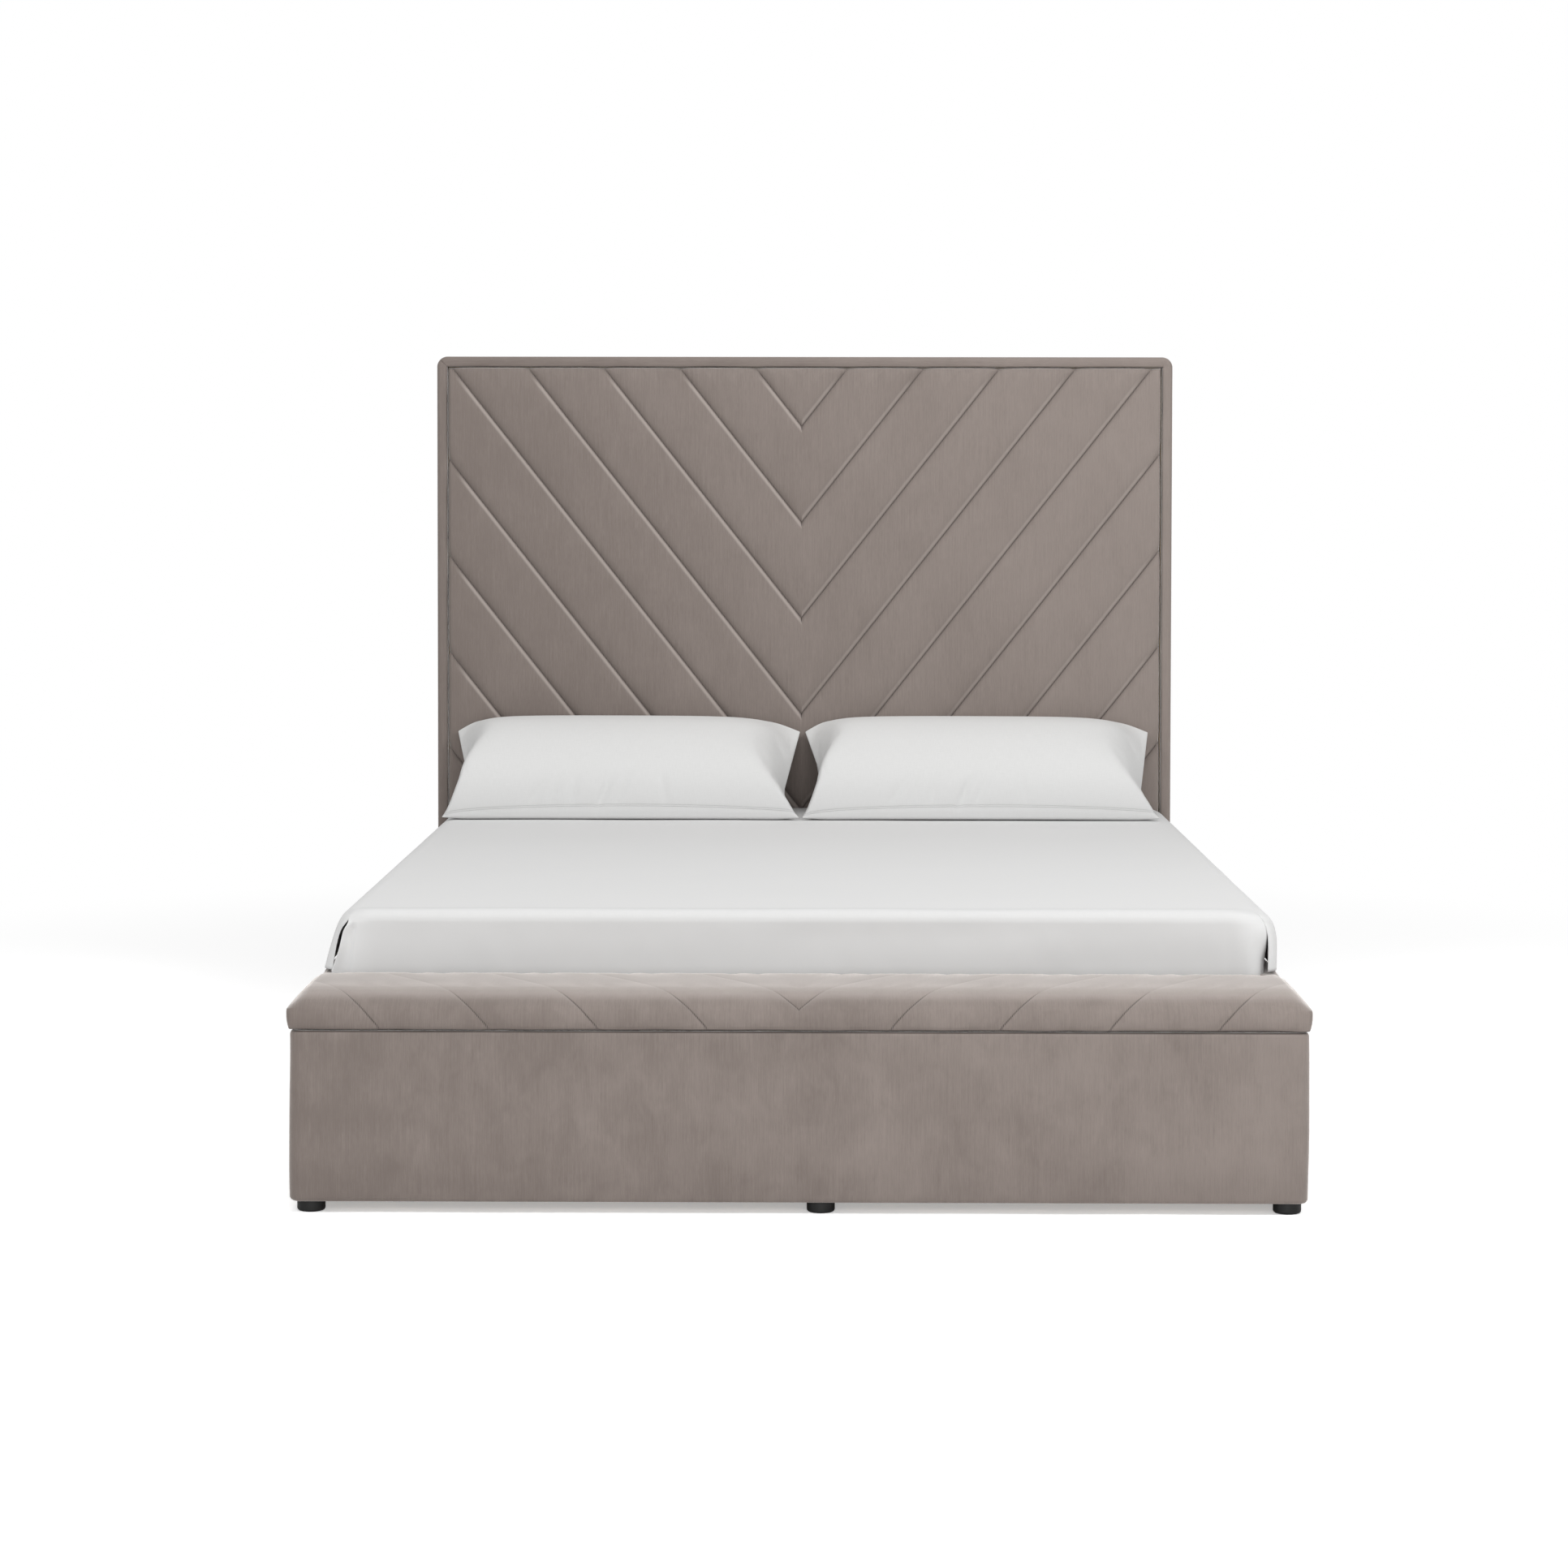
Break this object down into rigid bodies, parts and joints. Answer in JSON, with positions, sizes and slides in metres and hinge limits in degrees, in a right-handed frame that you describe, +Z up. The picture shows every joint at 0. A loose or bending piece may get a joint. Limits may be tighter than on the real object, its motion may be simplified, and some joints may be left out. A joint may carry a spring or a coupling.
{
  "type": "upholstered storage bed",
  "caption": "Upholstered bed with a padded chevron headboard, side rails on slats, mattress and pillows, and a storage bench with a hinged padded lid at its foot.",
  "frame": {"origin": "on the floor under the middle of the bed's bounding box", "axes": "+X to the right seen from the foot end, +Y from the foot to the head, +Z up"},
  "size_m": [1.666, 2.515, 1.471],
  "materials": {
    "velvet": "brushed taupe velvet",
    "white_sheet": "matt white cotton",
    "white_pillowcase": "matt white cotton",
    "mattress_ticking": "quilted ticking",
    "lining_cloth": "black non-woven dust cloth",
    "webbing": "woven tape",
    "black_plastic": "moulded",
    "black_rubber": "moulded",
    "black_steel": "powder coated",
    "zinc_steel": "zinc plated",
    "polished_rod": "ground and polished",
    "pine": "planed softwood",
    "plywood": "sanded plywood"
  },
  "bodies": {
    "bed": {"beam_hangers": "black_steel", "bed_slats": "pine", "bench_back_panel": "plywood", "bench_end_cover_left": "velvet", "bench_end_cover_right": "velvet", "bench_end_panel_left": "plywood", "bench_end_panel_right": "plywood", "bench_floor_panel": "plywood", "bench_foot_left": "black_plastic", "bench_foot_middle": "black_plastic", "bench_foot_right": "black_plastic", "bench_front_cover": "velvet", "bench_front_panel": "plywood", "bench_lining": "lining_cloth", "bench_rear_feet": "black_plastic", "centre_beam": "pine", "centre_leg_glides": "black_plastic", "centre_legs": "pine", "headboard_back_cover": "lining_cloth", "headboard_border_left": "velvet", "headboard_border_right": "velvet", "headboard_border_top": "velvet", "headboard_bottom_rail": "pine", "headboard_chevron_pad": "velvet", "headboard_face_board": "plywood", "headboard_feet": "black_plastic", "headboard_middle_rail": "pine", "headboard_post_left": "pine", "headboard_post_right": "pine", "headboard_top_rail": "pine", "hinge_leaves_fixed": "zinc_steel", "hinge_pins": "zinc_steel", "lid_bumpers": "black_rubber", "rail_bolts": "zinc_steel", "rail_brackets": "black_steel", "side_rail_board_left": "plywood", "side_rail_board_right": "plywood", "side_rail_cover_left": "velvet", "side_rail_cover_right": "velvet", "slat_ledge_left": "pine", "slat_ledge_right": "pine", "slat_straps": "webbing", "strut_base_bracket_left": "zinc_steel", "strut_base_bracket_right": "zinc_steel"},
    "lid": {"lid_board": "plywood", "lid_cushion": "velvet", "lid_lining": "lining_cloth", "hinge_leaves_moving": "zinc_steel", "strut_lid_bracket_left": "zinc_steel", "strut_lid_bracket_right": "zinc_steel"},
    "strut_tube_left": {"strut_tube_left": "black_steel"},
    "strut_tube_right": {"strut_tube_right": "black_steel"},
    "strut_rod_left": {"strut_rod_left": "polished_rod"},
    "strut_rod_right": {"strut_rod_right": "polished_rod"},
    "mattress": {"mattress": "mattress_ticking", "bed_sheet": "white_sheet"},
    "pillow_left": {"pillow_left": "white_pillowcase"},
    "pillow_right": {"pillow_right": "white_pillowcase"}
  },
  "joints": [
    {"name": "lid_hinge", "type": "hinge", "parent": "bed", "child": "lid", "pos_m": [0, -0.9335, 0.298], "axis": [-1, 0, 0], "range_deg": [0, 80]},
    {"name": "strut_tube_left_pivot", "type": "hinge", "parent": "bed", "child": "strut_tube_left", "pos_m": [-0.7565, -0.9935, 0.098], "axis": [-1, 0, 0], "range_deg": [0, 39]},
    {"name": "strut_rod_left_pivot", "type": "hinge", "parent": "lid", "child": "strut_rod_left", "pos_m": [-0.7565, -1.1335, 0.276], "axis": [-1, 0, 0], "range_deg": [-42, 0]},
    {"name": "strut_tube_right_pivot", "type": "hinge", "parent": "bed", "child": "strut_tube_right", "pos_m": [0.7565, -0.9935, 0.098], "axis": [-1, 0, 0], "range_deg": [0, 39]},
    {"name": "strut_rod_right_pivot", "type": "hinge", "parent": "lid", "child": "strut_rod_right", "pos_m": [0.7565, -1.1335, 0.276], "axis": [-1, 0, 0], "range_deg": [-42, 0]},
    {"name": "mattress_lift", "type": "slide", "parent": "bed", "child": "mattress", "axis": [0, 0, 1], "range_m": [0, 0.3]},
    {"name": "pillow_left_lift", "type": "slide", "parent": "mattress", "child": "pillow_left", "axis": [0, 0, 1], "range_m": [0, 0.3]},
    {"name": "pillow_right_lift", "type": "slide", "parent": "mattress", "child": "pillow_right", "axis": [0, 0, 1], "range_m": [0, 0.3]}
  ],
  "couplings": [
    {"joint": "strut_tube_left_pivot", "follows": "lid_hinge", "ratio": 0.482},
    {"joint": "strut_rod_left_pivot", "follows": "lid_hinge", "ratio": -0.518},
    {"joint": "strut_tube_right_pivot", "follows": "lid_hinge", "ratio": 0.482},
    {"joint": "strut_rod_right_pivot", "follows": "lid_hinge", "ratio": -0.518}
  ]
}
